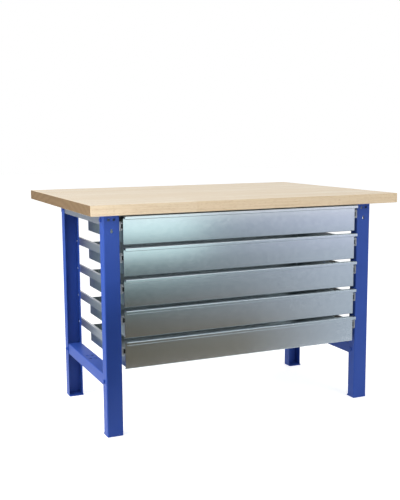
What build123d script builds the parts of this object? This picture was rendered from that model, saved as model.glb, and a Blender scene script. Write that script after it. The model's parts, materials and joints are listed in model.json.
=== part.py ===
from build123d import *

import os

# Workbench with a beech top, four folded-steel legs and five full-width drawers on telescopic slides.
# Millimetres. The origin is on the floor under the middle of the top: X to the right, Y to the back, Z up.

# Worktop
top_width = 1260
top_depth = 900
top_thickness = 38
bench_height = 850
top_edge_radius = 3
top_front_overhang = 85

# Legs, folded into a C section whose open side faces the inside of the bench
frame_width = 1120
frame_depth = 570
leg_width = 60
leg_depth = 42
leg_sheet = 2.5
leg_bend_radius = 2.75
square_hole = 9
square_hole_spacing = 20
square_hole_drop = 22
key_slot_width = 6
key_slot_height = 15
key_hole_diameter = 10
key_slot_drop = 62

# Foot plates, welded under the legs: flush on three sides, reaching out of the open side
foot_reach = 10
foot_thickness = 4
foot_corner_radius = 4
anchor_hole_diameter = 11

# Stretchers, inverted channels that run from front leg to back leg inside the leg sections
stretcher_sheet = 2
stretcher_height = 42
stretcher_bend_radius = 2.5
stretcher_end_gap = 5
stretcher_cope = 6
lower_stretcher_top = 226
lower_hole_diameter = 13.5
lower_hole_spacing_x = 20
lower_hole_spacing_y = 44

# Back beam, an angle bolted across the back of the two rear legs
beam_size = 40
beam_sheet = 2.5
beam_bend_radius = 3

# Frame bolts
bolt_diameter = 8
bolt_hole_diameter = 8.5
bolt_head_width = 13
bolt_head_height = 5.3
bolt_edge_distance = 14
nut_height = 6.5
bolt_end = 2
carriage_head_diameter = 18
carriage_head_height = 4
carriage_neck = 8.4

# Wood screws that hold the top
wood_screw_diameter = 5
wood_screw_hole = 5.4
wood_screw_head_diameter = 10
wood_screw_head_height = 3
wood_screw_depth = 24
wood_screw_inset = 110

# Drawers
drawer_count = 5
drawer_pitch = 113
first_lip_top = 802
drawer_sheet = 1.2
front_height = 104
lip_reach = 23
lip_height = 12
lip_hem = 7
front_foot = 12
fold_radius = 1.4
slide_space = 13
tray_length = 435
tray_drop = 96
tray_rim_drop = 29
tray_front_drop = 18
rim_width = 8

# Telescopic slides
slide_drop = 37
outer_height = 32
outer_depth = 9
outer_sheet = 1.5
outer_length = 550
outer_front_gap = 2
middle_height = 23
middle_sheet = 1.5
middle_web_offset = 3.9
middle_depth = 7
middle_length = 450
inner_height = 15
inner_sheet = 1.5
inner_depth = 6.5
inner_length = 430
slide_fold_radius = 1.6
retainer_clearance = 0.4
retainer_width = 4
retainer_length = 150
retainer_front_gap = 30

# Slide fasteners
slide_screw_diameter = 5
slide_screw_hole = 5.4
slide_screw_head_diameter = 9
slide_screw_head_height = 1.8
slide_screw_edge_distance = 12
slide_nut_width = 8
slide_nut_height = 4
slide_screw_end = 1.5
rivet_diameter = 4
rivet_hole = 4.4
rivet_head_diameter = 8
rivet_head_height = 1.2
rivet_places = (40, 215, 390)

# Places worked out from the sizes above
top_front = -top_depth / 2
top_underside = bench_height - top_thickness
frame_front = top_front + top_front_overhang
frame_back = frame_front + frame_depth
leg_outer_x = frame_width / 2
leg_inner_x = leg_outer_x - leg_width
leg_centre_x = leg_outer_x - leg_width / 2
leg_free_front = frame_front + leg_depth
leg_free_back = frame_back - leg_depth
bolt_front_y = leg_free_front - bolt_edge_distance
bolt_back_y = leg_free_back + bolt_edge_distance
upper_stretcher_top = top_underside
stretcher_width = leg_width - 2 * leg_sheet
stretcher_bolt_drop = (stretcher_height + stretcher_cope) / 2
stretcher_middle_y = (leg_free_front + leg_free_back) / 2
drawer_half_width = leg_inner_x - slide_space
slide_front = frame_front + outer_front_gap
sides = {"left": -1, "right": 1}
ends = {"front": 1, "rear": -1}
drawer_numbers = range(1, drawer_count + 1)


def lip_top(number):
    return first_lip_top - drawer_pitch * (number - 1)


def slide_height(number):
    return lip_top(number) - slide_drop


def leg_y(end):
    return frame_front + leg_depth / 2 if end > 0 else frame_back - leg_depth / 2


def leg_free_y(end):
    return leg_free_front if end > 0 else leg_free_back


def across(x, y, z, direction):
    # A plane square to X at one point, facing left (-1) or right (1)
    return Plane(origin=(x, y, z), x_dir=(0, 1, 0), z_dir=(direction, 0, 0))


def write(piece, name):
    piece.part.label = name
    export_step(piece.part, f"parts/{name}.step")


def write_welded(pieces, name):
    # Sheets that are welded face to face stay separate solids in one file
    group = Compound([solid for piece in pieces for solid in piece.part.solids()])
    group.label = name
    export_step(group, f"parts/{name}.step")


os.makedirs("parts", exist_ok=True)

# Bolt places on the flanges of the legs: outer and inner flange, front and back, both stretchers
flange_bolts = [
    across(face_x * side, bolt_y, stretcher_top - stretcher_bolt_drop, direction * side)
    for side in sides.values()
    for face_x, direction in ((leg_outer_x, -1), (leg_inner_x, 1))
    for bolt_y in (bolt_front_y, bolt_back_y)
    for stretcher_top in (lower_stretcher_top, upper_stretcher_top)
]

# Carriage bolt places on the back faces of the rear legs, through the square holes
beam_bolt_planes = [
    Plane(
        origin=(leg_centre_x * side + offset, frame_back - leg_sheet, top_underside - square_hole_drop),
        x_dir=(1, 0, 0),
        z_dir=(0, 1, 0),
    )
    for side in sides.values()
    for offset in (-square_hole_spacing / 2, square_hole_spacing / 2)
]

# Slide screw places on the inner flanges of the legs
slide_screw_planes = [
    across(leg_inner_x * side, leg_free_y(end) - slide_screw_edge_distance * end, slide_height(number), side)
    for side in sides.values()
    for end in ends.values()
    for number in drawer_numbers
]

# Wood screw places under the top: along both upper stretchers and along the back beam
stretcher_screw_ys = (leg_free_front + wood_screw_inset, leg_free_back - wood_screw_inset)
stretcher_screws = [(leg_centre_x * side, y) for side in sides.values() for y in stretcher_screw_ys]
beam_screw_reach = leg_inner_x - wood_screw_inset
beam_screws = [(x, frame_back + beam_size / 2) for x in (-beam_screw_reach, 0, beam_screw_reach)]
wood_screw_places = stretcher_screws + beam_screws

# Worktop, with pilot holes for its screws
with BuildPart() as tabletop:
    with BuildSketch(Plane.XY.offset(top_underside)):
        Rectangle(top_width, top_depth)
    extrude(amount=top_thickness)
    fillet(tabletop.edges(), top_edge_radius)
    with BuildSketch(Plane.XY.offset(top_underside)):
        with Locations(*wood_screw_places):
            Circle(wood_screw_hole / 2)
    extrude(amount=wood_screw_depth + 1, mode=Mode.SUBTRACT)
write(tabletop, "tabletop")

# Legs and their foot plates
for end_name, end in ends.items():
    for side_name, side in sides.items():
        centre = (leg_centre_x * side, leg_y(end))
        closed_y = leg_y(end) - end * (leg_depth - leg_sheet) / 2
        free_y = leg_free_y(end)
        left_x = centre[0] - (leg_width - leg_sheet) / 2
        right_x = centre[0] + (leg_width - leg_sheet) / 2
        with BuildPart() as leg:
            with BuildSketch(Plane.XY.offset(foot_thickness)):
                with BuildLine():
                    FilletPolyline(
                        (left_x, free_y),
                        (left_x, closed_y),
                        (right_x, closed_y),
                        (right_x, free_y),
                        radius=leg_bend_radius,
                    )
                trace(line_width=leg_sheet)
            extrude(amount=top_underside - foot_thickness)
            with BuildSketch(Plane.XZ.offset(-closed_y)):
                with Locations((centre[0], top_underside - square_hole_drop)):
                    with GridLocations(square_hole_spacing, 0, 2, 1):
                        Rectangle(square_hole, square_hole)
                if end_name == "front":
                    with Locations((centre[0], top_underside - key_slot_drop)):
                        SlotOverall(key_slot_height, key_slot_width, rotation=90)
                        with Locations((0, (key_hole_diameter - key_slot_height) / 2)):
                            Circle(key_hole_diameter / 2)
            extrude(amount=leg_sheet, both=True, mode=Mode.SUBTRACT)
            with Locations(*flange_bolts):
                Cylinder(bolt_hole_diameter / 2, 2 * leg_sheet + 1, mode=Mode.SUBTRACT)
            with Locations(*slide_screw_planes):
                Cylinder(slide_screw_hole / 2, 2 * leg_sheet + 1, mode=Mode.SUBTRACT)
        write(leg, f"leg_{end_name}_{side_name}")

        with BuildPart() as foot_plate:
            with BuildSketch():
                with Locations((centre[0], centre[1] + end * foot_reach / 2)):
                    RectangleRounded(leg_width, leg_depth + foot_reach, foot_corner_radius)
                with Locations(centre):
                    Circle(anchor_hole_diameter / 2, mode=Mode.SUBTRACT)
            extrude(amount=foot_thickness)
        write(foot_plate, f"foot_plate_{end_name}_{side_name}")

# Stretchers: the web stops at the legs and the flanges run on inside them as bolting tabs
for level, stretcher_top in (("lower", lower_stretcher_top), ("upper", upper_stretcher_top)):
    for side_name, side in sides.items():
        middle_x = leg_centre_x * side
        left_x = middle_x - (stretcher_width - stretcher_sheet) / 2
        right_x = middle_x + (stretcher_width - stretcher_sheet) / 2
        foot_z = stretcher_top - stretcher_height
        web_z = stretcher_top - stretcher_sheet / 2
        start_y = frame_front + stretcher_end_gap
        stretcher_length = frame_depth - 2 * stretcher_end_gap
        cope_length = leg_depth - stretcher_end_gap
        cope_front_y = (start_y + leg_free_front) / 2
        cope_back_y = (start_y + stretcher_length + leg_free_back) / 2
        with BuildPart() as stretcher:
            with BuildSketch(Plane.XZ.offset(-start_y)):
                with BuildLine():
                    FilletPolyline(
                        (left_x, foot_z),
                        (left_x, web_z),
                        (right_x, web_z),
                        (right_x, foot_z),
                        radius=stretcher_bend_radius,
                    )
                trace(line_width=stretcher_sheet)
            extrude(amount=-stretcher_length)
            with Locations((middle_x, cope_front_y, stretcher_top), (middle_x, cope_back_y, stretcher_top)):
                Box(leg_width, cope_length, 2 * stretcher_cope, mode=Mode.SUBTRACT)
            with Locations(*flange_bolts):
                Cylinder(bolt_hole_diameter / 2, 4 * leg_sheet, mode=Mode.SUBTRACT)
            with BuildSketch(Plane.XY.offset(stretcher_top)):
                if level == "lower":
                    with Locations((middle_x, stretcher_middle_y)):
                        with GridLocations(lower_hole_spacing_x, lower_hole_spacing_y, 2, 2):
                            Circle(lower_hole_diameter / 2)
                else:
                    with Locations(*stretcher_screws):
                        Circle(wood_screw_hole / 2)
            extrude(amount=-2 * stretcher_sheet, mode=Mode.SUBTRACT)
        write(stretcher, f"{level}_stretcher_{side_name}")

# Back beam under the rear overhang of the top
with BuildPart() as rear_beam:
    with BuildSketch(Plane.YZ.offset(-leg_outer_x)):
        with BuildLine():
            FilletPolyline(
                (frame_back + beam_sheet / 2, top_underside - beam_size),
                (frame_back + beam_sheet / 2, top_underside - beam_sheet / 2),
                (frame_back + beam_size, top_underside - beam_sheet / 2),
                radius=beam_bend_radius,
            )
        trace(line_width=beam_sheet)
    extrude(amount=frame_width)
    with Locations(*beam_bolt_planes):
        Cylinder(bolt_hole_diameter / 2, 6 * beam_sheet, mode=Mode.SUBTRACT)
    with BuildSketch(Plane.XY.offset(top_underside)):
        with Locations(*beam_screws):
            Circle(wood_screw_hole / 2)
    extrude(amount=-2 * beam_sheet, mode=Mode.SUBTRACT)
write(rear_beam, "rear_beam")

# Hexagon bolts: heads on the faces of the legs, shanks through leg and stretcher
flange_grip = leg_sheet + stretcher_sheet
with BuildPart() as stretcher_bolts:
    with BuildSketch(*flange_bolts):
        RegularPolygon(bolt_head_width / 2, 6, major_radius=False)
    extrude(amount=-bolt_head_height)
    with BuildSketch(*flange_bolts):
        Circle(bolt_diameter / 2)
    extrude(amount=flange_grip + nut_height + bolt_end)
write(stretcher_bolts, "stretcher_bolts")

# Carriage bolts: domed heads inside the rear legs, square necks in the square holes
with BuildPart() as beam_bolts:
    with BuildSketch(*beam_bolt_planes):
        Circle(carriage_head_diameter / 2)
    extrude(amount=-carriage_head_height, taper=35)
    with BuildSketch(*beam_bolt_planes):
        Rectangle(carriage_neck, carriage_neck)
    extrude(amount=leg_sheet)
    with BuildSketch(*beam_bolt_planes):
        Circle(bolt_diameter / 2)
    extrude(amount=leg_sheet + beam_sheet + nut_height + bolt_end)
write(beam_bolts, "beam_bolts")

# One M8 nut on every frame bolt
flange_nuts = [plane.offset(flange_grip) for plane in flange_bolts]
beam_nuts = [plane.offset(leg_sheet + beam_sheet) for plane in beam_bolt_planes]
with BuildPart() as frame_nuts:
    with BuildSketch(*flange_nuts, *beam_nuts):
        RegularPolygon(bolt_head_width / 2, 6, major_radius=False)
        Circle(bolt_hole_diameter / 2, mode=Mode.SUBTRACT)
    extrude(amount=nut_height)
write(frame_nuts, "frame_nuts")

# Wood screws, driven up through the stretchers and the beam into the top
stretcher_seats = [Plane((x, y, top_underside - stretcher_sheet)) for x, y in stretcher_screws]
beam_seats = [Plane((x, y, top_underside - beam_sheet)) for x, y in beam_screws]
with BuildPart() as top_screws:
    with BuildSketch(*stretcher_seats, *beam_seats):
        Circle(wood_screw_head_diameter / 2)
    extrude(amount=-wood_screw_head_height)
    with BuildSketch(*stretcher_seats, *beam_seats):
        Circle(wood_screw_diameter / 2)
    extrude(amount=wood_screw_depth)
write(top_screws, "top_screws")

# Screws and nuts that hold the outer slide members to the legs
screw_seats = [plane.offset(-outer_sheet) for plane in slide_screw_planes]
with BuildPart() as slide_screws:
    with BuildSketch(*screw_seats):
        Circle(slide_screw_head_diameter / 2)
    extrude(amount=-slide_screw_head_height)
    with BuildSketch(*screw_seats):
        Circle(slide_screw_diameter / 2)
    extrude(amount=outer_sheet + leg_sheet + slide_nut_height + slide_screw_end)
write(slide_screws, "slide_screws")

nut_seats = [plane.offset(leg_sheet) for plane in slide_screw_planes]
with BuildPart() as slide_nuts:
    with BuildSketch(*nut_seats):
        RegularPolygon(slide_nut_width / 2, 6, major_radius=False)
        Circle(slide_screw_hole / 2, mode=Mode.SUBTRACT)
    extrude(amount=slide_nut_height)
write(slide_nuts, "slide_nuts")


def channel_points(web_x, open_x, height, sheet, centre_z):
    # Centre line of a channel on its side: lower flange, web, upper flange
    flange_z = (height - sheet) / 2
    return (
        (open_x, centre_z - flange_z),
        (web_x, centre_z - flange_z),
        (web_x, centre_z + flange_z),
        (open_x, centre_z + flange_z),
    )


# Outer slide members, one channel on each side of each drawer
for number in drawer_numbers:
    for side_name, side in sides.items():
        web_x = (leg_inner_x - outer_sheet / 2) * side
        open_x = (leg_inner_x - outer_depth) * side
        with BuildPart() as outer_member:
            with BuildSketch(Plane.XZ.offset(-slide_front)):
                with BuildLine():
                    FilletPolyline(
                        *channel_points(web_x, open_x, outer_height, outer_sheet, slide_height(number)),
                        radius=slide_fold_radius,
                    )
                trace(line_width=outer_sheet)
            extrude(amount=-outer_length)
            with Locations(*slide_screw_planes):
                Cylinder(slide_screw_hole / 2, 4 * outer_sheet, mode=Mode.SUBTRACT)
        write(outer_member, f"slide_{number}_outer_{side_name}")

# Middle slide members, a pair for each drawer, with ball retainers seated on both faces of their flanges
middle_web_x = leg_inner_x - middle_web_offset - middle_sheet / 2
middle_open_x = middle_web_x - middle_depth
outer_retainer_thickness = outer_height / 2 - outer_sheet - middle_height / 2 - retainer_clearance
inner_retainer_thickness = middle_height / 2 - middle_sheet - inner_height / 2 - retainer_clearance
outer_retainer_z = (middle_height + outer_retainer_thickness) / 2
inner_retainer_z = middle_height / 2 - middle_sheet - inner_retainer_thickness / 2
outer_retainer_x = (middle_web_x + leg_inner_x - outer_depth) / 2
inner_retainer_x = middle_open_x + retainer_width / 2
retainer_y = slide_front + retainer_front_gap + retainer_length / 2
for number in drawer_numbers:
    centre_z = slide_height(number)
    with BuildPart() as middle_members:
        for side in sides.values():
            with BuildSketch(Plane.XZ.offset(-slide_front)):
                with BuildLine():
                    FilletPolyline(
                        *channel_points(
                            middle_web_x * side, middle_open_x * side, middle_height, middle_sheet, centre_z
                        ),
                        radius=slide_fold_radius,
                    )
                trace(line_width=middle_sheet)
            extrude(amount=-middle_length)
    write(middle_members, f"slide_{number}_middle_members")

    with BuildPart() as ball_retainers:
        for side in sides.values():
            for level in (-1, 1):
                with Locations((outer_retainer_x * side, retainer_y, centre_z + outer_retainer_z * level)):
                    Box(retainer_width, retainer_length, outer_retainer_thickness)
                with Locations((inner_retainer_x * side, retainer_y, centre_z + inner_retainer_z * level)):
                    Box(retainer_width, retainer_length, inner_retainer_thickness)
    write(ball_retainers, f"slide_{number}_ball_retainers")

# Drawers: front with its folded pull lip, tray, inner slide members and the rivets that hold them
front_face = frame_front + drawer_sheet / 2
front_back = frame_front + drawer_sheet
tray_back = frame_front + tray_length
inner_web_x = drawer_half_width + inner_sheet / 2
inner_open_x = drawer_half_width + inner_depth
for number in drawer_numbers:
    top_z = lip_top(number)
    centre_z = slide_height(number)
    lip_z = top_z - drawer_sheet / 2
    lip_y = frame_front - lip_reach + drawer_sheet / 2
    hem_z = top_z - lip_height + drawer_sheet / 2
    foot_z = top_z - front_height + drawer_sheet / 2
    with BuildPart() as drawer_front:
        with BuildSketch(Plane.YZ.offset(-drawer_half_width)):
            with BuildLine():
                FilletPolyline(
                    (lip_y + lip_hem, hem_z),
                    (lip_y, hem_z),
                    (lip_y, lip_z),
                    (front_face, lip_z),
                    (front_face, foot_z),
                    (front_face + front_foot, foot_z),
                    radius=fold_radius,
                )
            trace(line_width=drawer_sheet)
        extrude(amount=2 * drawer_half_width)
    write(drawer_front, f"drawer_{number}_front")

    floor_z = top_z - tray_drop
    wall_foot = floor_z + drawer_sheet
    rim_z = top_z - tray_rim_drop
    inside_width = 2 * (drawer_half_width - drawer_sheet)
    tray_depth = tray_back - front_back
    tray_middle_y = (front_back + tray_back) / 2
    side_x = drawer_half_width - drawer_sheet / 2
    rim_x = drawer_half_width - rim_width
    rivet_planes = [
        across(drawer_half_width * side, frame_front + place, centre_z, side)
        for side in sides.values()
        for place in rivet_places
    ]
    with BuildPart() as tray_floor:
        with BuildSketch(Plane.XY.offset(floor_z)):
            with Locations((0, tray_middle_y)):
                Rectangle(2 * drawer_half_width, tray_depth)
        extrude(amount=drawer_sheet)

    # Sides with folded rims, which carry the slides
    with BuildPart() as tray_sides:
        for side in sides.values():
            with BuildSketch(Plane.XZ.offset(-front_back)):
                with BuildLine():
                    FilletPolyline(
                        (side_x * side, wall_foot),
                        (side_x * side, rim_z - drawer_sheet / 2),
                        (rim_x * side, rim_z - drawer_sheet / 2),
                        radius=fold_radius,
                    )
                trace(line_width=drawer_sheet)
            extrude(amount=-tray_depth)
        with Locations(*rivet_planes):
            Cylinder(rivet_hole / 2, 4 * drawer_sheet, mode=Mode.SUBTRACT)

    # Back wall up to the rims, and a lower wall behind the drawer front
    wall_top = rim_z - drawer_sheet
    with BuildPart() as tray_back_wall:
        with BuildSketch(Plane.XZ.offset(-tray_back)):
            with Locations((0, (wall_foot + wall_top) / 2)):
                Rectangle(inside_width, wall_top - wall_foot)
        extrude(amount=drawer_sheet)
    front_wall_top = rim_z - tray_front_drop
    with BuildPart() as tray_front_wall:
        with BuildSketch(Plane.XZ.offset(-front_back)):
            with Locations((0, (wall_foot + front_wall_top) / 2)):
                Rectangle(inside_width, front_wall_top - wall_foot)
        extrude(amount=-drawer_sheet)
    write_welded((tray_floor, tray_sides, tray_back_wall, tray_front_wall), f"drawer_{number}_tray")

    with BuildPart() as inner_members:
        for side in sides.values():
            with BuildSketch(Plane.XZ.offset(-slide_front)):
                with BuildLine():
                    FilletPolyline(
                        *channel_points(
                            inner_web_x * side, inner_open_x * side, inner_height, inner_sheet, centre_z
                        ),
                        radius=slide_fold_radius,
                    )
                trace(line_width=inner_sheet)
            extrude(amount=-inner_length)
        with Locations(*rivet_planes):
            Cylinder(rivet_hole / 2, 4 * inner_sheet, mode=Mode.SUBTRACT)
    write(inner_members, f"drawer_{number}_inner_members")

    # Rivet heads bear on the inside of the tray and on the web of the slide member
    head_seats = [plane.offset(-drawer_sheet) for plane in rivet_planes]
    tail_seats = [plane.offset(inner_sheet) for plane in rivet_planes]
    with BuildPart() as drawer_rivets:
        with BuildSketch(*head_seats):
            Circle(rivet_head_diameter / 2)
        extrude(amount=-rivet_head_height)
        with BuildSketch(*head_seats):
            Circle(rivet_diameter / 2)
        extrude(amount=drawer_sheet + inner_sheet)
        with BuildSketch(*tail_seats):
            Circle(rivet_head_diameter / 2 - 1)
        extrude(amount=rivet_head_height)
    write(drawer_rivets, f"drawer_{number}_rivets")
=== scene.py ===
import json
import math

import bmesh
import bpy
from mathutils import Matrix, Vector

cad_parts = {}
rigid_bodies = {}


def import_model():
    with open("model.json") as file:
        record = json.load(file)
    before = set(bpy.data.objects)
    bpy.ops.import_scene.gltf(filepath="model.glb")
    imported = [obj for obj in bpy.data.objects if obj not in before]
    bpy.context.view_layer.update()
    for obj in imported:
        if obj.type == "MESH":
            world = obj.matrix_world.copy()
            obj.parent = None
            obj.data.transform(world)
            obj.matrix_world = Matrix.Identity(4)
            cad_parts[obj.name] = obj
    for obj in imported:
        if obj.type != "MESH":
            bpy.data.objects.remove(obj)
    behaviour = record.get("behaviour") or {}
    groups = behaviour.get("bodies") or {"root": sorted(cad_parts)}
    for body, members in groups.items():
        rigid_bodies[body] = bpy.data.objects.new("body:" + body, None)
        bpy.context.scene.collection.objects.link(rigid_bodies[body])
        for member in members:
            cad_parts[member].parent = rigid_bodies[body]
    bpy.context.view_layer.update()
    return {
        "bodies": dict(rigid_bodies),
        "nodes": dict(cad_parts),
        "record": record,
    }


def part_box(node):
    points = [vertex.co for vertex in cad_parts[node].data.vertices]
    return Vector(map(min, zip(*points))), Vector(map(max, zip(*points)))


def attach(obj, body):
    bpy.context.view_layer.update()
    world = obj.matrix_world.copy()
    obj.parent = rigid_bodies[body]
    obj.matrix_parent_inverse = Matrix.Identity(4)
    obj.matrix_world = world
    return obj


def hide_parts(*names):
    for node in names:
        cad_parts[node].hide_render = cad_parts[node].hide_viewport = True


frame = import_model()

mm = 0.001
drawerNumbers = range(1, 1 + sum(name.startswith("drawer_") for name in frame["bodies"]))


def linear(hexColour):
    # sRGB hex to the linear colour that the shaders take
    colour = []
    for start in (1, 3, 5):
        share = int(hexColour[start : start + 2], 16) / 255
        if share <= 0.04045:
            colour.append(share / 12.92)
        else:
            colour.append(((share + 0.055) / 1.055) ** 2.4)
    return colour + [1.0]


def addNode(tree, kind, settings=None, links=None):
    # settings are properties, sockets by name or number, or "stops" of a colour ramp
    node = tree.nodes.new(kind)
    for name, value in (settings or {}).items():
        if name == "stops":
            elements = node.color_ramp.elements
            while len(elements) < len(value):
                elements.new(1.0)
            for element, (place, colour) in zip(elements, value):
                element.position = place
                element.color = colour
        elif isinstance(name, str) and hasattr(node, name):
            setattr(node, name, value)
        else:
            node.inputs[name].default_value = value
    for name, socket in (links or {}).items():
        tree.links.new(socket, node.inputs[name])
    return node


def newMaterial(name, shaderSettings):
    material = bpy.data.materials.new(name)
    material.use_nodes = True
    tree = material.node_tree
    shader = tree.nodes["Principled BSDF"]
    for socket, value in shaderSettings.items():
        shader.inputs[socket].default_value = value
    coords = addNode(tree, "ShaderNodeTexCoord")
    return material, tree, shader, coords.outputs


# Beech, glued up from staves, sanded and oiled: warm pale tone that changes from stave to stave, fine grain
# along the bench, short darker flecks, and end grain that drinks the oil and goes tan
beech = {
    "pale": "#efe2cd",
    "deep": "#e8d7bc",
    "grain": "#d0b892",
    "fleck": "#c0a077",
    "edge": "#dcc8a6",
    "endPale": "#7e684d",
    "endDeep": "#776147",
    "endSpeck": "#65523a",
    "staveWidth": 45.2 * mm,
    "staveLength": 640 * mm,
    "glueLine": 0.5 * mm,
    "grainWidth": 5 * mm,  # real grain is under 1 mm; this is as coarse as the render needs to show it
    "grainLength": 260 * mm,
    "bandWidth": 34 * mm,
    "bandLength": 900 * mm,
    "fleckWidth": 1.4 * mm,
    "fleckLength": 7 * mm,
    "ringSpacing": 25.13 * mm,  # real rings are about 4 mm apart; drawn coarser so that they show
    "poreSize": 2.2 * mm,
    "endRoughness": 0.9,
}


def makeBeech():
    material, tree, shader, coords = newMaterial("oiled_beech", {"IOR": 1.45, "Specular IOR Level": 0.3})
    staves = addNode(
        tree,
        "ShaderNodeTexBrick",
        {
            "offset": 0.37,
            "Color1": linear(beech["pale"]),
            "Color2": linear(beech["deep"]),
            "Mortar": linear(beech["grain"]),
            "Scale": 1.0,
            "Mortar Size": beech["glueLine"],
            "Brick Width": beech["staveLength"],
            "Row Height": beech["staveWidth"],
        },
        {"Vector": coords["Object"]},
    )
    bandScale = (1 / beech["bandLength"], 1 / beech["bandWidth"], 1 / beech["bandWidth"])
    bandPlace = addNode(tree, "ShaderNodeMapping", {"Scale": bandScale}, {"Vector": coords["Object"]})
    bands = addNode(
        tree, "ShaderNodeTexNoise", {"Scale": 1.0, "Detail": 3.0}, {"Vector": bandPlace.outputs[0]}
    )
    grainScale = (1 / beech["grainLength"], 1 / beech["grainWidth"], 1 / beech["grainWidth"])
    grainPlace = addNode(tree, "ShaderNodeMapping", {"Scale": grainScale}, {"Vector": coords["Object"]})
    grain = addNode(
        tree,
        "ShaderNodeTexNoise",
        {"Scale": 1.0, "Detail": 5.0, "Roughness": 0.65, "Distortion": 0.4},
        {"Vector": grainPlace.outputs[0]},
    )
    grainShade = addNode(
        tree,
        "ShaderNodeValToRGB",
        {"stops": [(0.48, (0, 0, 0, 1)), (0.72, (0.6, 0.6, 0.6, 1))]},
        {"Fac": grain.outputs["Fac"]},
    )
    bandShade = addNode(
        tree,
        "ShaderNodeValToRGB",
        {"stops": [(0.42, (0, 0, 0, 1)), (0.75, (0.45, 0.45, 0.45, 1))]},
        {"Fac": bands.outputs["Fac"]},
    )
    banded = addNode(
        tree,
        "ShaderNodeMix",
        {"data_type": "RGBA", 7: linear(beech["deep"])},
        {0: bandShade.outputs["Color"], 6: staves.outputs["Color"]},
    )
    grained = addNode(
        tree,
        "ShaderNodeMix",
        {"data_type": "RGBA", 7: linear(beech["grain"])},
        {0: grainShade.outputs["Color"], 6: banded.outputs[2]},
    )
    fleckScale = (1 / beech["fleckLength"], 1 / beech["fleckWidth"], 1 / beech["fleckWidth"])
    fleckPlace = addNode(tree, "ShaderNodeMapping", {"Scale": fleckScale}, {"Vector": coords["Object"]})
    flecks = addNode(
        tree, "ShaderNodeTexNoise", {"Scale": 1.0, "Detail": 1.0}, {"Vector": fleckPlace.outputs[0]}
    )
    fleckShade = addNode(
        tree,
        "ShaderNodeValToRGB",
        {"stops": [(0.6, (0, 0, 0, 1)), (0.72, (0.6, 0.6, 0.6, 1))]},
        {"Fac": flecks.outputs["Fac"]},
    )
    flecked = addNode(
        tree,
        "ShaderNodeMix",
        {"data_type": "RGBA", 7: linear(beech["fleck"])},
        {0: fleckShade.outputs["Color"], 6: grained.outputs[2]},
    )

    # End grain, on the faces that look along X
    rings = addNode(
        tree,
        "ShaderNodeTexWave",
        {
            "wave_type": "RINGS",
            "rings_direction": "X",
            "Scale": math.pi / 10 / beech["ringSpacing"],  # at a scale of 1, waves are pi / 10 apart
            "Distortion": 3.0,
            "Detail": 2.0,
        },
        {"Vector": coords["Object"]},
    )
    pores = addNode(
        tree,
        "ShaderNodeTexNoise",
        {"Scale": 1 / beech["poreSize"], "Detail": 2.0},
        {"Vector": coords["Object"]},
    )
    endTone = addNode(
        tree,
        "ShaderNodeMix",
        {"data_type": "RGBA", 6: linear(beech["endPale"]), 7: linear(beech["endDeep"])},
        {0: rings.outputs["Fac"]},
    )
    poreShade = addNode(
        tree,
        "ShaderNodeValToRGB",
        {"stops": [(0.6, (0, 0, 0, 1)), (0.72, (0.7, 0.7, 0.7, 1))]},
        {"Fac": pores.outputs["Fac"]},
    )
    endColour = addNode(
        tree,
        "ShaderNodeMix",
        {"data_type": "RGBA", 7: linear(beech["endSpeck"])},
        {0: poreShade.outputs["Color"], 6: endTone.outputs[2]},
    )
    facing = addNode(tree, "ShaderNodeSeparateXYZ", None, {0: coords["Normal"]})
    endways = addNode(tree, "ShaderNodeMath", {"operation": "ABSOLUTE"}, {0: facing.outputs["Y"]})
    edgeShare = addNode(
        tree,
        "ShaderNodeMapRange",
        {"From Min": 0.3, "From Max": 0.9, "To Max": 0.4},
        {"Value": endways.outputs[0]},
    )
    edged = addNode(
        tree,
        "ShaderNodeMix",
        {"data_type": "RGBA", "blend_type": "MULTIPLY", 7: linear(beech["edge"])},
        {0: edgeShare.outputs[0], 6: flecked.outputs[2]},
    )
    sideways = addNode(tree, "ShaderNodeMath", {"operation": "ABSOLUTE"}, {0: facing.outputs["X"]})
    endShare = addNode(
        tree,
        "ShaderNodeMapRange",
        {"From Min": 0.55, "From Max": 0.85},
        {"Value": sideways.outputs[0]},
    )
    colour = addNode(
        tree,
        "ShaderNodeMix",
        {"data_type": "RGBA"},
        {0: endShare.outputs[0], 6: edged.outputs[2], 7: endColour.outputs[2]},
    )
    oiled = addNode(
        tree,
        "ShaderNodeMapRange",
        {"To Min": 0.42, "To Max": 0.6},
        {"Value": grain.outputs["Fac"]},
    )
    roughness = addNode(
        tree,
        "ShaderNodeMix",
        {"data_type": "FLOAT", 3: beech["endRoughness"]},
        {0: endShare.outputs[0], 2: oiled.outputs[0]},
    )
    bump = addNode(
        tree,
        "ShaderNodeBump",
        {"Strength": 0.15, "Distance": 0.3 * mm},
        {"Height": flecks.outputs["Fac"]},
    )
    tree.links.new(colour.outputs[2], shader.inputs["Base Color"])
    tree.links.new(roughness.outputs[0], shader.inputs["Roughness"])
    tree.links.new(bump.outputs[0], shader.inputs["Normal"])
    return material


# Powder coat on folded steel: one even blue with a fine orange peel, thinner and lighter on the edges
powderCoat = {
    "blue": "#2e4ea2",
    "deepBlue": "#2b4999",
    "edge": "#4563b6",
    "edgeWidth": 1.6 * mm,
    "peelSize": 2.6 * mm,
    "cloudSize": 140 * mm,
}


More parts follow.
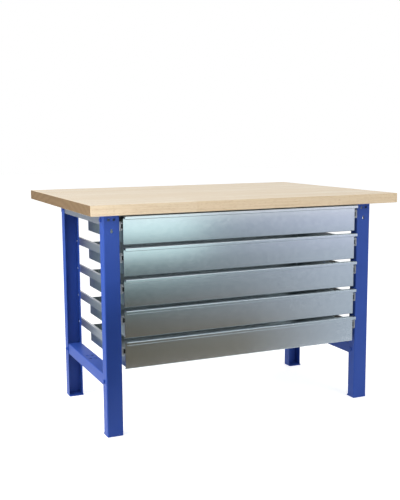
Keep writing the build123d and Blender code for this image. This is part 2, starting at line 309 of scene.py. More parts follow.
def makePowderCoat():
    material, tree, shader, coords = newMaterial(
        "blue_powder_coat", {"IOR": 1.45, "Roughness": 0.45, "Specular IOR Level": 0.25}
    )
    clouds = addNode(
        tree,
        "ShaderNodeTexNoise",
        {"Scale": 1 / powderCoat["cloudSize"], "Detail": 3.0},
        {"Vector": coords["Object"]},
    )
    tone = addNode(
        tree,
        "ShaderNodeMix",
        {"data_type": "RGBA", 6: linear(powderCoat["deepBlue"]), 7: linear(powderCoat["blue"])},
        {0: clouds.outputs["Fac"]},
    )
    peel = addNode(
        tree,
        "ShaderNodeTexNoise",
        {"Scale": 1 / powderCoat["peelSize"], "Detail": 1.0},
        {"Vector": coords["Object"]},
    )
    rounded = addNode(tree, "ShaderNodeBevel", {"samples": 4, "Radius": powderCoat["edgeWidth"]})
    flat = addNode(tree, "ShaderNodeNewGeometry")
    sameWay = addNode(
        tree,
        "ShaderNodeVectorMath",
        {"operation": "DOT_PRODUCT"},
        {0: rounded.outputs[0], 1: flat.outputs["True Normal"]},
    )
    edgeShare = addNode(
        tree,
        "ShaderNodeMapRange",
        {"From Min": 1.0, "From Max": 0.72, "To Max": 0.55},
        {"Value": sameWay.outputs["Value"]},
    )
    colour = addNode(
        tree,
        "ShaderNodeMix",
        {"data_type": "RGBA", 7: linear(powderCoat["edge"])},
        {0: edgeShare.outputs[0], 6: tone.outputs[2]},
    )
    bump = addNode(
        tree,
        "ShaderNodeBump",
        {"Strength": 0.12, "Distance": 0.12 * mm},
        {"Height": peel.outputs["Fac"], "Normal": rounded.outputs[0]},
    )
    tree.links.new(colour.outputs[2], shader.inputs["Base Color"])
    tree.links.new(bump.outputs[0], shader.inputs["Normal"])
    return material


# Galvanised sheet: soft mirror of zinc with faint spangle, rolled along the drawer; skin-passed and bright on
# the fronts, dull on the trays, and dull and grey on the upper stretchers
galvanised = {"spangleSize": 14 * mm, "rollWidth": 1.8 * mm, "rollLength": 420 * mm}
brightSheet = {
    "pale": "#e1e5e9",
    "grey": "#d6dbe0",
    "roughSmooth": 0.15,
    "roughDull": 0.17,
    "foldShade": "#9eacb3",  # painted shade on the lips, hems and folds: darker and tealer than the sheet, which damps their highlights
    "roughBent": 0.36,
    "bow": 0.21,  # per metre: a front stands about half a millimetre prouder in the middle than at its edges
    "middle": 750 * mm,
    "pitch": 113 * mm,
}
dullSheet = {"pale": "#b7c1c5", "grey": "#a7b2b7", "roughSmooth": 0.3, "roughDull": 0.38}
greySheet = {"pale": "#b2b5c0", "grey": "#a2a5b0", "roughSmooth": 0.44, "roughDull": 0.54}


def makeGalvanised(name, sheet):
    material, tree, shader, coords = newMaterial(name, {"Metallic": 1.0})
    spangle = addNode(
        tree,
        "ShaderNodeTexVoronoi",
        {"Scale": 1 / galvanised["spangleSize"], "Randomness": 1.0},
        {"Vector": coords["Object"]},
    )
    shade = addNode(tree, "ShaderNodeSeparateColor", None, {0: spangle.outputs["Color"]})
    rollScale = (1 / galvanised["rollLength"], 1 / galvanised["rollWidth"], 1 / galvanised["rollWidth"])
    rollPlace = addNode(tree, "ShaderNodeMapping", {"Scale": rollScale}, {"Vector": coords["Object"]})
    rolled = addNode(
        tree, "ShaderNodeTexNoise", {"Scale": 1.0, "Detail": 2.0}, {"Vector": rollPlace.outputs[0]}
    )
    blend = addNode(
        tree,
        "ShaderNodeMix",
        {"data_type": "FLOAT", 0: 0.55},
        {2: shade.outputs[0], 3: rolled.outputs["Fac"]},
    )
    colour = addNode(
        tree,
        "ShaderNodeMix",
        {"data_type": "RGBA", 6: linear(sheet["grey"]), 7: linear(sheet["pale"])},
        {0: blend.outputs[0]},
    )
    roughness = addNode(
        tree,
        "ShaderNodeMapRange",
        {"To Min": sheet["roughSmooth"], "To Max": sheet["roughDull"]},
        {"Value": blend.outputs[0]},
    )
    bump = addNode(
        tree,
        "ShaderNodeBump",
        {"Strength": 0.03, "Distance": 0.05 * mm},
        {"Height": rolled.outputs["Fac"]},
    )
    if "foldShade" in sheet:
        # Lips, hems and folds, what doesn't stand upright: a painted shade in the colour, and rougher zinc
        facing = addNode(tree, "ShaderNodeSeparateXYZ", None, {0: coords["Normal"]})
        upDown = addNode(tree, "ShaderNodeMath", {"operation": "ABSOLUTE"}, {0: facing.outputs["Z"]})
        foldShadeShare = addNode(
            tree, "ShaderNodeMapRange", {"From Min": 0.03, "From Max": 0.2}, {"Value": upDown.outputs[0]}
        )
        colour = addNode(
            tree,
            "ShaderNodeMix",
            {"data_type": "RGBA", 7: linear(sheet["foldShade"])},
            {0: foldShadeShare.outputs[0], 6: colour.outputs[2]},
        )
        roughness = addNode(
            tree,
            "ShaderNodeMix",
            {"data_type": "FLOAT", 3: sheet["roughBent"]},
            {0: foldShadeShare.outputs[0], 2: roughness.outputs[0]},
        )
    if "bow" in sheet:
        # The height falls off with the square of the distance from the middle of each front
        place = addNode(tree, "ShaderNodeSeparateXYZ", None, {0: coords["Object"]})
        level = addNode(
            tree, "ShaderNodeMath", {"operation": "SUBTRACT", 1: sheet["middle"]}, {0: place.outputs["Z"]}
        )
        within = addNode(
            tree,
            "ShaderNodeMath",
            {"operation": "WRAP", 1: sheet["pitch"] / 2, 2: -sheet["pitch"] / 2},
            {0: level.outputs[0]},
        )
        square = addNode(
            tree,
            "ShaderNodeMath",
            {"operation": "MULTIPLY"},
            {0: within.outputs[0], 1: within.outputs[0]},
        )
        bowed = addNode(
            tree,
            "ShaderNodeBump",
            {"invert": True, "Strength": 1.0, "Distance": sheet["bow"]},
            {"Height": square.outputs[0]},
        )
        tree.links.new(bowed.outputs[0], bump.inputs["Normal"])
    tree.links.new(colour.outputs[2], shader.inputs["Base Color"])
    tree.links.new(roughness.outputs[0], shader.inputs["Roughness"])
    tree.links.new(bump.outputs[0], shader.inputs["Normal"])
    return material


# Zinc-plated steel strip, cold rolled lengthwise: duller than the sheet, with drawn lines along the slide
slideSteel = {
    "pale": "#dcdfe4",
    "grey": "#b8bcc2",
    "lineWidth": 1.2 * mm,
    "lineLength": 160 * mm,
}


def makeSlideSteel():
    material, tree, shader, coords = newMaterial("zinc_plated_strip", {"Metallic": 1.0})
    lineScale = (1 / slideSteel["lineWidth"], 1 / slideSteel["lineLength"], 1 / slideSteel["lineWidth"])
    linePlace = addNode(tree, "ShaderNodeMapping", {"Scale": lineScale}, {"Vector": coords["Object"]})
    lines = addNode(
        tree, "ShaderNodeTexNoise", {"Scale": 1.0, "Detail": 3.0}, {"Vector": linePlace.outputs[0]}
    )
    colour = addNode(
        tree,
        "ShaderNodeMix",
        {"data_type": "RGBA", 6: linear(slideSteel["grey"]), 7: linear(slideSteel["pale"])},
        {0: lines.outputs["Fac"]},
    )
    roughness = addNode(
        tree, "ShaderNodeMapRange", {"To Min": 0.3, "To Max": 0.48}, {"Value": lines.outputs["Fac"]}
    )
    tree.links.new(colour.outputs[2], shader.inputs["Base Color"])
    tree.links.new(roughness.outputs[0], shader.inputs["Roughness"])
    return material


# Blue-passivated zinc on bolts, nuts, screws and rivets
fastenerZinc = {"pale": "#a3b2d4", "blue": "#7f91c2", "patchSize": 6 * mm}


def makeFastenerZinc():
    material, tree, shader, coords = newMaterial("blue_passivated_zinc", {"Metallic": 1.0})
    patches = addNode(
        tree,
        "ShaderNodeTexNoise",
        {"Scale": 1 / fastenerZinc["patchSize"], "Detail": 2.0},
        {"Vector": coords["Object"]},
    )
    colour = addNode(
        tree,
        "ShaderNodeMix",
        {"data_type": "RGBA", 6: linear(fastenerZinc["blue"]), 7: linear(fastenerZinc["pale"])},
        {0: patches.outputs["Fac"]},
    )
    roughness = addNode(
        tree, "ShaderNodeMapRange", {"To Min": 0.28, "To Max": 0.45}, {"Value": patches.outputs["Fac"]}
    )
    tree.links.new(colour.outputs[2], shader.inputs["Base Color"])
    tree.links.new(roughness.outputs[0], shader.inputs["Roughness"])
    return material


# Rolled brass strip of the ball retainers, greasy in patches
brassStrip = {"clean": "#c9a85c", "tarnished": "#9a7c3e", "patchSize": 9 * mm}


def makeBrass():
    material, tree, shader, coords = newMaterial("rolled_brass_strip", {"Metallic": 1.0})
    patches = addNode(
        tree,
        "ShaderNodeTexNoise",
        {"Scale": 1 / brassStrip["patchSize"], "Detail": 3.0},
        {"Vector": coords["Object"]},
    )
    colour = addNode(
        tree,
        "ShaderNodeMix",
        {"data_type": "RGBA", 6: linear(brassStrip["tarnished"]), 7: linear(brassStrip["clean"])},
        {0: patches.outputs["Fac"]},
    )
    roughness = addNode(
        tree, "ShaderNodeMapRange", {"To Min": 0.25, "To Max": 0.5}, {"Value": patches.outputs["Fac"]}
    )
    tree.links.new(colour.outputs[2], shader.inputs["Base Color"])
    tree.links.new(roughness.outputs[0], shader.inputs["Roughness"])
    return material


# Inner slide members: a near-black painted shade for the shade inside the slide channels, on a dull, slightly
# oily strip with drawn lines along it
shadedRunnerStrip = {"dark": "#1d1f21", "grey": "#34373a", "lineWidth": 1.2 * mm, "lineLength": 120 * mm}


def makeShadedRunnerStrip():
    material, tree, shader, coords = newMaterial("painted_shade_runner_strip", {"Metallic": 0.4})
    across = 1 / shadedRunnerStrip["lineWidth"]
    along = 1 / shadedRunnerStrip["lineLength"]
    linePlace = addNode(
        tree, "ShaderNodeMapping", {"Scale": (across, along, across)}, {"Vector": coords["Object"]}
    )
    lines = addNode(
        tree, "ShaderNodeTexNoise", {"Scale": 1.0, "Detail": 3.0}, {"Vector": linePlace.outputs[0]}
    )
    colour = addNode(
        tree,
        "ShaderNodeMix",
        {"data_type": "RGBA", 6: linear(shadedRunnerStrip["dark"]), 7: linear(shadedRunnerStrip["grey"])},
        {0: lines.outputs["Fac"]},
    )
    roughness = addNode(
        tree, "ShaderNodeMapRange", {"To Min": 0.38, "To Max": 0.55}, {"Value": lines.outputs["Fac"]}
    )
    tree.links.new(colour.outputs[2], shader.inputs["Base Color"])
    tree.links.new(roughness.outputs[0], shader.inputs["Roughness"])
    return material


# Moulded nylon of the slide levers: black, satin, with the fine pimples of a spark-eroded mould
nylon = {"black": "#141516", "worn": "#232527", "grainSize": 1.1 * mm}


def makeNylon():
    material, tree, shader, coords = newMaterial("black_moulded_nylon", {"IOR": 1.53, "Roughness": 0.48})
    pimples = addNode(
        tree,
        "ShaderNodeTexNoise",
        {"Scale": 1 / nylon["grainSize"], "Detail": 2.0},
        {"Vector": coords["Object"]},
    )
    colour = addNode(
        tree,
        "ShaderNodeMix",
        {"data_type": "RGBA", 6: linear(nylon["black"]), 7: linear(nylon["worn"])},
        {0: pimples.outputs["Fac"]},
    )
    bump = addNode(
        tree,
        "ShaderNodeBump",
        {"Strength": 0.2, "Distance": 0.08 * mm},
        {"Height": pimples.outputs["Fac"]},
    )
    tree.links.new(colour.outputs[2], shader.inputs["Base Color"])
    tree.links.new(bump.outputs[0], shader.inputs["Normal"])
    return material


finishes = {
    "beech": makeBeech(),
    "blue_paint": makePowderCoat(),
    "galvanised_sheet": makeGalvanised("bright_galvanised_sheet", brightSheet),
    "slide_steel": makeSlideSteel(),
    "zinc_fasteners": makeFastenerZinc(),
    "retainer_brass": makeBrass(),
}
dullZinc = makeGalvanised("dull_galvanised_sheet", dullSheet)
greyZinc = makeGalvanised("grey_galvanised_sheet", greySheet)
runnerSteel = makeShadedRunnerStrip()
leverNylon = makeNylon()

# Pieces that look different from the rest of their material slot
otherFinishes = {
    "_tray": dullZinc,
    "upper_stretcher_": greyZinc,
    # painted shade: the inner members' dark strip stands in for the shade in the slide channels
    "_inner_members": runnerSteel,
}
for subpart in frame["record"]["subparts"]:
    mesh = frame["nodes"][subpart["node"]].data
    mesh.materials.clear()
    others = [material for part, material in otherFinishes.items() if part in subpart["node"]]
    mesh.materials.append(others[0] if others else finishes[subpart["material_slot"]])
print("finishes:", ", ".join(material.name for material in bpy.data.materials if material.users))

# How the small pieces are made
smallWork = {
    "samePoint": 0.001 * mm,
    "smoothAngle": math.radians(35),
    "facets": 24,  # round a screw, rivet or hexagon
}


def newPiece(name, shape, body, material, replaced=()):
    for edge in shape.edges:
        edge.smooth = edge.calc_face_angle(0) < smallWork["smoothAngle"]
    for face in shape.faces:
        face.smooth = True
    data = bpy.data.meshes.new(name)
    shape.to_mesh(data)
    shape.free()
    data.materials.append(material)
    piece = bpy.data.objects.new(name, data)
    bpy.context.scene.collection.objects.link(piece)
    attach(piece, body)
    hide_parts(*replaced)


def solidBoxes(node):
    # Lowest and highest corner of every separate solid in a CAD node
    shape = bmesh.new()
    shape.from_mesh(frame["nodes"][node].data)
    bmesh.ops.remove_doubles(shape, verts=shape.verts, dist=smallWork["samePoint"])
    waiting = set(shape.verts)
    boxes = []
    while waiting:
        island = [waiting.pop()]
        for vert in island:
            near = {edge.other_vert(vert) for edge in vert.link_edges} & waiting
            waiting -= near
            island.extend(near)
        low = Vector([min(vert.co[axis] for vert in island) for axis in range(3)])
        high = Vector([max(vert.co[axis] for vert in island) for axis in range(3)])
        boxes.append((low, high))
    shape.free()
    return sorted(boxes, key=lambda corners: [round(value, 5) for value in corners[0]])


def lathe(profile):
    # Turns (radius, height) points round Z
    shape = bmesh.new()
    verts = [shape.verts.new((radius, 0, height)) for radius, height in profile]
    edges = [shape.edges.new(pair) for pair in zip(verts, verts[1:])]
    bmesh.ops.spin(
        shape,
        geom=verts + edges,
        cent=(0, 0, 0),
        axis=(0, 0, 1),
        angle=2 * math.pi,
        steps=smallWork["facets"],
        use_merge=True,
    )
    bmesh.ops.remove_doubles(shape, verts=shape.verts, dist=smallWork["samePoint"])
    bmesh.ops.recalc_face_normals(shape, faces=shape.faces)
    return shape


def copies(template, places):
    # The template at every place, as one shape
    single = bpy.data.meshes.new("single")
    template.to_mesh(single)
    template.free()
    shape = bmesh.new()
    for place in places:
        before = len(shape.verts)
        shape.from_mesh(single)
        shape.verts.ensure_lookup_table()
        bmesh.ops.transform(shape, matrix=place, verts=shape.verts[before:])
    bpy.data.meshes.remove(single)
    return shape


def joined(first, *others):
    for other in others:
        single = bpy.data.meshes.new("single")
        other.to_mesh(single)
        other.free()
        first.from_mesh(single)
        bpy.data.meshes.remove(single)
    return first


def hexTurned(across, low, high, chamfer, bore=0, chamferHigh=False):
    # A turned blank with its sides milled to a hexagon, corners on X; a bore makes it a nut
    flat = across / 2
    corner = across / math.sqrt(3)
    topRadius = flat if chamferHigh else corner
    topEdge = high - chamfer if chamferHigh else high
    profile = [(bore, low), (flat * 0.95, low), (corner, low + chamfer), (corner, topEdge)]
    profile += [(topRadius * 0.95, high), (bore, high)]
    if bore:
        profile.append((bore, low))
    shape = lathe(profile)
    for vert in shape.verts:
        radius = math.hypot(vert.co.x, vert.co.y)
        if radius > flat:
            turn = math.atan2(vert.co.y, vert.co.x) % (math.pi / 3) - math.pi / 6
            reach = flat / math.cos(turn) / radius
            vert.co.x *= min(1, reach)
            vert.co.y *= min(1, reach)
    return shape


def threaded(radius, low, high, pitch):
    # A rolled thread, its turns drawn as rings
    root = radius - 0.6 * pitch
    profile = [(0, low), (radius, low)]
    for turn in range(1, int((high - low) / pitch)):
        profile += [(root, low + (turn - 0.5) * pitch), (radius, low + turn * pitch)]
    return lathe(profile + [(root, high), (0, high)])


def panHead(radius, height, recess, recessDepth):
    # A domed head with a six-lobed recess in its top, under side at zero
    shape = lathe(
        [
            (recess, -height),
            (radius * 0.7, -height * 0.92),
            (radius * 0.94, -height * 0.6),
            (radius, -height * 0.2),
            (radius, 0),
            (0, 0),
        ]
    )
    rim = [edge for edge in shape.edges if edge.is_boundary]
    for vert in {vert for edge in rim for vert in edge.verts}:
        lobe = 0.84 + 0.16 * math.cos(6 * math.atan2(vert.co.y, vert.co.x))
        vert.co.x *= lobe
        vert.co.y *= lobe
    walls = bmesh.ops.extrude_edge_only(shape, edges=rim)["geom"]
    floorVerts = [item for item in walls if isinstance(item, bmesh.types.BMVert)]
    bmesh.ops.translate(shape, verts=floorVerts, vec=(0, 0, recessDepth))
    bmesh.ops.edgeloop_fill(shape, edges=[edge for edge in shape.edges if edge.is_boundary])
    bmesh.ops.recalc_face_normals(shape, faces=shape.faces)
    return shape


def seatsOf(node, axis, headHeight, headAtLow):
    # Places of a node's fasteners: Z from the seat under the head to the tip, X the wide way of the head
    places = []
    for low, high in solidBoxes(node):
        middle = (low + high) / 2
        size = high - low
        along = size[:].index(min(size)) if axis is None else axis
        fromLow = headAtLow(middle)
        seat = middle.copy()
        seat[along] = low[along] + headHeight if fromLow else high[along] - headHeight
        tip = Vector((0, 0, 0))
        tip[along] = 1 if fromLow else -1
        wide = Vector((0, 0, 0))
        wide[max({0, 1, 2} - {along}, key=lambda other: size[other])] = 1
        turn = Matrix((wide, tip.cross(wide), tip)).transposed().to_4x4()
        places.append(Matrix.Translation(seat) @ turn)
    return places


legLow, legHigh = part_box("leg_front_right")
legMiddle = (legLow.x + legHigh.x) / 2


def headTowardsCentre(middle):
    return middle.x > 0


def headOutsideLeg(middle):
    return (abs(middle.x) < legMiddle) == (middle.x > 0)


def headAtBottom(middle):
    return True


def fastenerPiece(name, node, template, places, body="bench", slotName="zinc_fasteners"):
    newPiece(name, copies(template, places), body, finishes[slotName], [node])


# M8 bolts and nuts of the frame: forged hexagons with turned chamfers and rolled threads, and the carriage
# bolts of the back beam
frameBolt = {
    "across": 13 * mm,
    "headHeight": 5.3 * mm,
    "nutHeight": 6.5 * mm,
    "nutBore": 4.1 * mm,
    "chamfer": 0.9 * mm,
    "radius": 4 * mm,
    "pitch": 1.25 * mm,
    "reach": 13 * mm,
    "domeRadius": 9 * mm,
    "domeHeight": 4 * mm,
    "neck": 8.4 * mm,
    "neckLength": 2.5 * mm,
    "beamReach": 13.5 * mm,
    "sunk": 1 * mm,  # start of the shank inside the head
}


def makeFrameBolts():
    sizes = frameBolt
    head = hexTurned(sizes["across"], -sizes["headHeight"], 0, sizes["chamfer"])
    bolt = joined(head, threaded(sizes["radius"], -sizes["sunk"], sizes["reach"], sizes["pitch"]))
    places = seatsOf("stretcher_bolts", 0, sizes["headHeight"], headOutsideLeg)
    fastenerPiece("stretcher_hex_bolts", "stretcher_bolts", bolt, places, slotName="blue_paint")

    rise = sizes["domeHeight"]
    dome = lathe(
        [
            (0, -rise),
            (sizes["domeRadius"] * 0.45, -rise * 0.9),
            (sizes["domeRadius"] * 0.8, -rise * 0.55),
            (sizes["domeRadius"], -rise * 0.12),
            (sizes["domeRadius"], 0),
            (0, 0),
        ]
    )
    neck = bmesh.new()
    bmesh.ops.create_cube(neck, size=1)
    neckSize = (sizes["neck"], sizes["neck"], sizes["neckLength"] + sizes["sunk"])
    bmesh.ops.scale(neck, verts=neck.verts, vec=neckSize)
    bmesh.ops.translate(neck, verts=neck.verts, vec=(0, 0, (sizes["neckLength"] - sizes["sunk"]) / 2))
    bmesh.ops.bevel(
        neck, geom=neck.edges, offset=0.4 * mm, segments=1, profile=0.5, affect="EDGES", material=-1
    )
    shank = threaded(sizes["radius"], sizes["neckLength"] - sizes["sunk"], sizes["beamReach"], sizes["pitch"])
    places = seatsOf("beam_bolts", 1, sizes["domeHeight"], headAtBottom)
    fastenerPiece("beam_carriage_bolts", "beam_bolts", joined(dome, neck, shank), places)

    nut = hexTurned(sizes["across"], 0, sizes["nutHeight"], sizes["chamfer"], sizes["nutBore"], True)
    fastenerPiece("frame_hex_nuts", "frame_nuts", nut, seatsOf("frame_nuts", None, 0, headAtBottom))


# Small screws: pan heads with six-lobed recesses, M5 in the slides and wood screws under the top
smallScrews = {
    "slideHead": 4.5 * mm,
    "slideHeadHeight": 1.8 * mm,
    "slideRecess": 2 * mm,
    "slideRecessDepth": 1.1 * mm,
    "slideRadius": 2.5 * mm,
    "slidePitch": 0.8 * mm,
    "slideReach": 9.5 * mm,
    "nutAcross": 8 * mm,
    "nutHeight": 4 * mm,
    "nutBore": 2.6 * mm,
    "nutChamfer": 0.6 * mm,
    "woodHead": 5 * mm,
    "woodHeadHeight": 3 * mm,
    "woodRecess": 2.2 * mm,
    "woodRecessDepth": 1.8 * mm,
    "woodRadius": 2.5 * mm,
    "woodPitch": 2.4 * mm,
    "woodReach": 24 * mm,
    "sunk": 0.4 * mm,
}


def makeSmallScrews():
    sizes = smallScrews
    slideHead = panHead(
        sizes["slideHead"], sizes["slideHeadHeight"], sizes["slideRecess"], sizes["slideRecessDepth"]
    )
    slideShank = threaded(sizes["slideRadius"], -sizes["sunk"], sizes["slideReach"], sizes["slidePitch"])
    places = seatsOf("slide_screws", 0, sizes["slideHeadHeight"], headTowardsCentre)
    fastenerPiece("slide_pan_screws", "slide_screws", joined(slideHead, slideShank), places)

    nut = hexTurned(sizes["nutAcross"], 0, sizes["nutHeight"], sizes["nutChamfer"], sizes["nutBore"], True)
    fastenerPiece("slide_hex_nuts", "slide_nuts", nut, seatsOf("slide_nuts", 0, 0, headAtBottom))

    woodHead = panHead(
        sizes["woodHead"], sizes["woodHeadHeight"], sizes["woodRecess"], sizes["woodRecessDepth"]
    )
    woodShank = threaded(sizes["woodRadius"], -sizes["sunk"], sizes["woodReach"], sizes["woodPitch"])
    places = seatsOf("top_screws", 2, sizes["woodHeadHeight"], headAtBottom)
    fastenerPiece("top_pan_screws", "top_screws", joined(woodHead, woodShank), places)


# Rivets between trays and slides: domed factory head inside the tray, pressed tail in the slide
rivet = {"head": 4 * mm, "headHeight": 1.2 * mm, "shank": 2 * mm, "grip": 2.7 * mm, "tail": 3 * mm}


def makeRivets():
    for number in drawerNumbers:
        rise = rivet["headHeight"]
        tailSeat = rivet["grip"]
        template = lathe(
            [
                (0, -rise),
                (rivet["head"] * 0.5, -rise * 0.88),
                (rivet["head"] * 0.85, -rise * 0.5),
                (rivet["head"], 0),
                (rivet["shank"], 0),
                (rivet["shank"], tailSeat),
                (rivet["tail"], tailSeat),
                (rivet["tail"] * 0.9, tailSeat + rise * 0.8),
                (rivet["tail"] * 0.6, tailSeat + rise),
                (0, tailSeat + rise * 0.7),
            ]
        )
        body = f"drawer_{number}"
        places = seatsOf(f"{body}_rivets", 0, rise, headTowardsCentre)
        fastenerPiece(f"{body}_domed_rivets", f"{body}_rivets", template, places, body)


makeFrameBolts()
makeSmallScrews()
makeRivets()
print("fasteners: bolts, nuts, screws and rivets in place of the plain ones")

# Ball rows of the slides: stamped brass strip with steel balls in it
ballRow = {
    "strip": 0.9 * mm,
    "edge": 0.3 * mm,
    "pitch": 12 * mm,
    "endGap": 5 * mm,
    "ballSides": 8,
    "ballRings": 6,
}


def makeBallRows():
    for number in drawerNumbers:
        strips = bmesh.new()
        balls = bmesh.new()
        for low, high in solidBoxes(f"slide_{number}_ball_retainers"):
            middle = (low + high) / 2
            size = high - low
            strip = bmesh.ops.create_cube(strips, size=1)["verts"]
            bmesh.ops.scale(strips, verts=strip, vec=(size.x, size.y, ballRow["strip"]))
            bmesh.ops.translate(strips, verts=strip, vec=middle)
            length = size.y - 2 * ballRow["endGap"]
            count = int(length / ballRow["pitch"]) + 1
            for place in range(count):
                ballY = low.y + ballRow["endGap"] + place * length / (count - 1)
                bmesh.ops.create_uvsphere(
                    balls,
                    u_segments=ballRow["ballSides"],
                    v_segments=ballRow["ballRings"],
                    radius=size.z / 2,
                    matrix=Matrix.Translation((middle.x, ballY, middle.z)),
                )
        bmesh.ops.bevel(
            strips,
            geom=strips.edges,
            offset=ballRow["edge"],
            segments=1,
            profile=0.5,
            affect="EDGES",
            material=-1,
        )
        body = f"slide_{number}"
        newPiece(
            f"{body}_ball_strips",
            strips,
            body,
            finishes["retainer_brass"],
            [f"{body}_ball_retainers"],
        )
        newPiece(f"{body}_balls", balls, body, finishes["zinc_fasteners"])


# Release levers in the front of the inner slide members: flat nylon mouldings with a finger pad
lever = {
    "outline": [  # mm from the front end and from the middle of the slide
        (4, -3.2),
        (6, -4.8),
        (24, -4.8),
        (31, -2.4),
        (84, -2.4),
        (86, 0),
        (84, 2.4),
        (31, 2.4),
        (24, 4.8),
        (6, 4.8),
        (4, 3.2),
    ],
    "thickness": 2.6 * mm,
    "inset": 0.8 * mm,  # from the open edge of the member
    "edge": 0.5 * mm,
}


def makeLevers():
    for number in drawerNumbers:
        low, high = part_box(f"drawer_{number}_inner_members")
        middleZ = (low.z + high.z) / 2
        shape = bmesh.new()
        for side in (-1, 1):
            openX = low.x if side < 0 else high.x
            outerX = openX - side * lever["inset"]
            verts = []
            for fromEnd, fromMiddle in lever["outline"]:
                verts.append(shape.verts.new((outerX, low.y + fromEnd * mm, middleZ + fromMiddle * mm)))
            face = shape.faces.new(verts)
            moved = bmesh.ops.extrude_face_region(shape, geom=[face], use_keep_orig=True)["geom"]
            inner = [item for item in moved if isinstance(item, bmesh.types.BMVert)]
            bmesh.ops.translate(shape, verts=inner, vec=(-side * lever["thickness"], 0, 0))
        bmesh.ops.recalc_face_normals(shape, faces=shape.faces)
        bmesh.ops.bevel(
            shape,
            geom=shape.edges,
            offset=lever["edge"],
            segments=2,
            profile=0.5,
            affect="EDGES",
            material=-1,
        )
        newPiece(f"drawer_{number}_slide_levers", shape, f"drawer_{number}", leverNylon)


makeBallRows()
makeLevers()
print("slides: ball rows and levers on", len(drawerNumbers), "drawers")

# Studio: pale floor, soft boxes, white all round, and glowing floor cards that paint the reflections in the
# bare metal
studio = {
    "floorSize": 40.0,
    "floorColour": "#f2f2f1",
    "cameraLift": 0.62,  # lifts the lit floor to white for the camera and keeps the shadow
    "skyColour": "#f4f6fa",
    "skyLight": 0.5,
    "softBoxes": [
        {
            "name": "stretcher_box",
            "place": (-0.74, -0.08, 0.66),
            "aim": (-0.53, -0.08, 0.226),
            "size": 0.24,
            "power": 0.9,
            "seenInMetal": False,
        },
        {
            "name": "low_left_box",
            "place": (-0.8, -0.75, 0.72),
            "aim": (-0.52, -0.35, 0.72),
            "size": 0.3,
            "power": 0.6,
        },
        {
            "name": "left_box",
            "place": (-3.8, -0.5, 1.6),
            "aim": (-0.4, -0.2, 0.5),
            "size": 2.0,
            "power": 112,
        },
        {
            "name": "front_box",
            "place": (1.6, -4.4, 2.4),
            "aim": (0, 0, 0.6),
            "size": 3.0,
            "power": 71,
        },
        {
            "name": "top_box",
            "place": (0, 0.4, 4.2),
            "aim": (0, 0, 0.8),
            "size": 3.4,
            "power": 34,
        },
    ],
}
# Painted reflections: glowing tones that the drawer fronts mirror, row by row in front of the bench
paintedReflection = {
    "corners": ((-4.0, -14.0), (9.0, -0.9)),
    "mirrorPoint": (-1.4, 2.3),  # bearings over the floor are taken from here
    "rows": [  # metres out from the middle of the bench over which a row gives way to the next, and its tones
        {"change": (1.5, 1.9), "tones": ((0.34, "#605b4e"), (0.52, "#747167"), (0.70, "#adb7c1"))},
        {"change": (2.1, 2.8), "tones": ((0.34, "#58554d"), (0.52, "#7c7f80"), (0.70, "#afb9c3"))},
        {"change": (3.3, 6.3), "tones": ((0.34, "#566667"), (0.52, "#828b91"), (0.70, "#b2bcc8"))},
        {
            "tones": (
                (0.22, "#b8c2cc"),
                (0.30, "#dffffe"),
                (0.43, "#dffffe"),
                (0.47, "#7e8b98"),
                (0.72, "#c8cee4"),
            )
        },
    ],
    "glow": 1.2,
}
# Painted reflection of the floor to the left of the bench
leftPaintedReflection = {"corners": ((-14.0, -0.9), (-0.9, 18.0)), "tone": "#6b8087"}
legFlag = {"middle": (-0.535, -0.56, 0.34), "size": (0.27, 0.48), "black": "#0c0c0c"}
cardHeight = 2 * mm


def stageSheet(name, size, middle, material, hiddenFrom=(), upright=False):
    # A flat sheet of the studio, which the object's files leave out
    shape = bmesh.new()
    bmesh.ops.create_grid(shape, x_segments=1, y_segments=1, size=0.5)
    bmesh.ops.scale(shape, verts=shape.verts, vec=(size[0], size[1], 1))
    if upright:
        quarterTurn = Matrix.Rotation(math.pi / 2, 3, "X")
        bmesh.ops.rotate(shape, verts=shape.verts, cent=(0, 0, 0), matrix=quarterTurn)
    bmesh.ops.translate(shape, verts=shape.verts, vec=middle)
    data = bpy.data.meshes.new(name)
    shape.to_mesh(data)
    shape.free()
    data.materials.append(material)
    sheet = bpy.data.objects.new(name, data)
    bpy.context.scene.collection.objects.link(sheet)
    for rays in hiddenFrom:
        setattr(sheet, "visible_" + rays, False)


def makeFloorCard(name, corners):
    # A glowing card on the floor that only reflections see: a painted reflection
    (lowX, lowY), (highX, highY) = corners
    material = bpy.data.materials.new(name)
    material.use_nodes = True
    tree = material.node_tree
    tree.nodes.clear()
    glow = addNode(tree, "ShaderNodeEmission", {"Strength": 1.0})
    addNode(tree, "ShaderNodeOutputMaterial", None, {"Surface": glow.outputs[0]})
    stageSheet(
        name,
        (highX - lowX, highY - lowY),
        ((lowX + highX) / 2, (lowY + highY) / 2, cardHeight),
        material,
        ("camera", "diffuse", "transmission", "volume_scatter", "shadow"),
    )
    return tree, glow


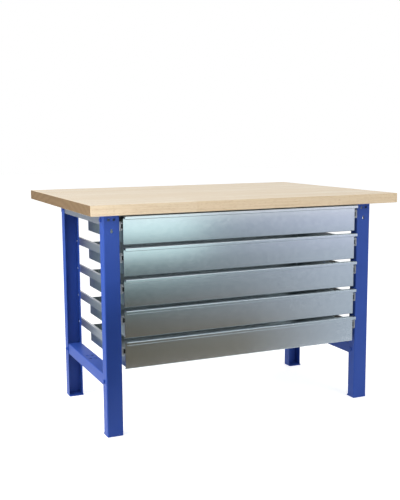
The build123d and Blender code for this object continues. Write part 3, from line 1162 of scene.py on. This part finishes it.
def makePaintedReflections():
    tree, glow = makeFloorCard("left_reflection_card", leftPaintedReflection["corners"])
    glow.inputs["Color"].default_value = linear(leftPaintedReflection["tone"])

    tree, glow = makeFloorCard("front_reflection_card", paintedReflection["corners"])
    glow.inputs["Strength"].default_value = paintedReflection["glow"]
    coords = addNode(tree, "ShaderNodeTexCoord")
    place = addNode(tree, "ShaderNodeSeparateXYZ", None, {0: coords.outputs["Object"]})
    mirrorX, mirrorY = paintedReflection["mirrorPoint"]
    across = addNode(tree, "ShaderNodeMath", {"operation": "SUBTRACT", 1: mirrorX}, {0: place.outputs["X"]})
    away = addNode(tree, "ShaderNodeMath", {"operation": "SUBTRACT", 0: mirrorY}, {1: place.outputs["Y"]})
    bearing = addNode(
        tree, "ShaderNodeMath", {"operation": "DIVIDE"}, {0: across.outputs[0], 1: away.outputs[0]}
    )
    colour = None
    change = None
    for row in paintedReflection["rows"]:
        ramp = addNode(
            tree,
            "ShaderNodeValToRGB",
            {"stops": [(at, linear(tone)) for at, tone in row["tones"]]},
            {"Fac": bearing.outputs[0]},
        )
        if colour is None:
            colour = ramp.outputs["Color"]
        else:
            blend = addNode(
                tree,
                "ShaderNodeMix",
                {"data_type": "RGBA"},
                {0: change.outputs[0], 6: colour, 7: ramp.outputs["Color"]},
            )
            colour = blend.outputs[2]
        if "change" in row:
            rowStart, rowEnd = row["change"]
            change = addNode(
                tree,
                "ShaderNodeMapRange",
                {"interpolation_type": "SMOOTHSTEP", "From Min": -rowStart, "From Max": -rowEnd},
                {"Value": place.outputs["Y"]},
            )
    tree.links.new(colour, glow.inputs["Color"])


def makeLegFlag():
    # A black card that shades the middle of the front left leg, as in the photo, and isn't seen itself
    material, tree, shader, coords = newMaterial(
        "black_flag_cloth", {"Base Color": linear(legFlag["black"]), "Roughness": 1.0}
    )
    stageSheet(
        "leg_flag",
        legFlag["size"],
        legFlag["middle"],
        material,
        ("camera", "glossy", "transmission"),
        upright=True,
    )


def seesWhite(tree):
    # One for the rays that show the background: camera, reflections and light through glass
    rays = addNode(tree, "ShaderNodeLightPath")
    cameraOrGlossy = addNode(
        tree,
        "ShaderNodeMath",
        {"operation": "MAXIMUM"},
        {0: rays.outputs["Is Camera Ray"], 1: rays.outputs["Is Glossy Ray"]},
    )
    seen = addNode(
        tree,
        "ShaderNodeMath",
        {"operation": "MAXIMUM"},
        {0: cameraOrGlossy.outputs[0], 1: rays.outputs["Is Transmission Ray"]},
    )
    return seen.outputs[0]


def makeStudio():
    world = bpy.data.worlds.new("studio")
    bpy.context.scene.world = world
    world.use_nodes = True
    tree = world.node_tree
    tree.nodes.clear()
    fill = addNode(
        tree,
        "ShaderNodeBackground",
        {"Color": linear(studio["skyColour"]), "Strength": studio["skyLight"]},
    )
    white = addNode(tree, "ShaderNodeBackground", {"Color": (1, 1, 1, 1), "Strength": 1.0})
    mixed = addNode(
        tree,
        "ShaderNodeMixShader",
        None,
        {0: seesWhite(tree), 1: fill.outputs[0], 2: white.outputs[0]},
    )
    addNode(tree, "ShaderNodeOutputWorld", None, {"Surface": mixed.outputs[0]})

    material, tree, shader, coords = newMaterial(
        "pale_floor", {"Base Color": linear(studio["floorColour"]), "Roughness": 0.9}
    )
    lift = addNode(
        tree,
        "ShaderNodeMath",
        {"operation": "MULTIPLY", 1: studio["cameraLift"]},
        {0: seesWhite(tree)},
    )
    shader.inputs["Emission Color"].default_value = (1, 1, 1, 1)
    tree.links.new(lift.outputs[0], shader.inputs["Emission Strength"])
    stageSheet("studio_floor", (studio["floorSize"], studio["floorSize"]), (0, 0, 0), material)

    for box in studio["softBoxes"]:
        lamp = bpy.data.lights.new(box["name"], "AREA")
        lamp.shape = "SQUARE"
        lamp.size = box["size"]
        lamp.energy = box["power"]
        lampObject = bpy.data.objects.new(box["name"], lamp)
        lampObject.visible_camera = False
        lampObject.visible_glossy = box.get("seenInMetal", True)
        lampObject.location = box["place"]
        aim = Vector(box["aim"]) - Vector(box["place"])
        lampObject.rotation_euler = aim.to_track_quat("-Z", "Y").to_euler()
        bpy.context.scene.collection.objects.link(lampObject)


makeStudio()
makePaintedReflections()
makeLegFlag()
bpy.context.scene.view_settings.view_transform = "Standard"
print("studio: floor and", len(studio["softBoxes"]), "soft boxes")

# Camera at the photograph's place, for an image of 400 x 500
camera = {
    "place": (-1403.3 * mm, -3079.0 * mm, 1079.7 * mm),
    "yaw": 0.420,
    "pitch": 0.1395,
    "roll": -0.0061,
    "focalPixels": 815.1,
    "imageHeight": 500,
    "sensor": 36.0,
}


def makeCamera():
    cameraData = bpy.data.cameras.new("photo_camera")
    cameraData.sensor_width = camera["sensor"]
    cameraData.lens = camera["focalPixels"] * camera["sensor"] / camera["imageHeight"]
    cameraObject = bpy.data.objects.new("photo_camera", cameraData)
    turn = (
        Matrix.Rotation(-camera["yaw"], 4, "Z")
        @ Matrix.Rotation(math.pi / 2 - camera["pitch"], 4, "X")
        @ Matrix.Rotation(camera["roll"], 4, "Z")
    )
    cameraObject.matrix_world = Matrix.Translation(camera["place"]) @ turn
    bpy.context.scene.collection.objects.link(cameraObject)
    bpy.context.scene.camera = cameraObject


makeCamera()
print("camera: lens", round(bpy.context.scene.camera.data.lens, 1), "mm")
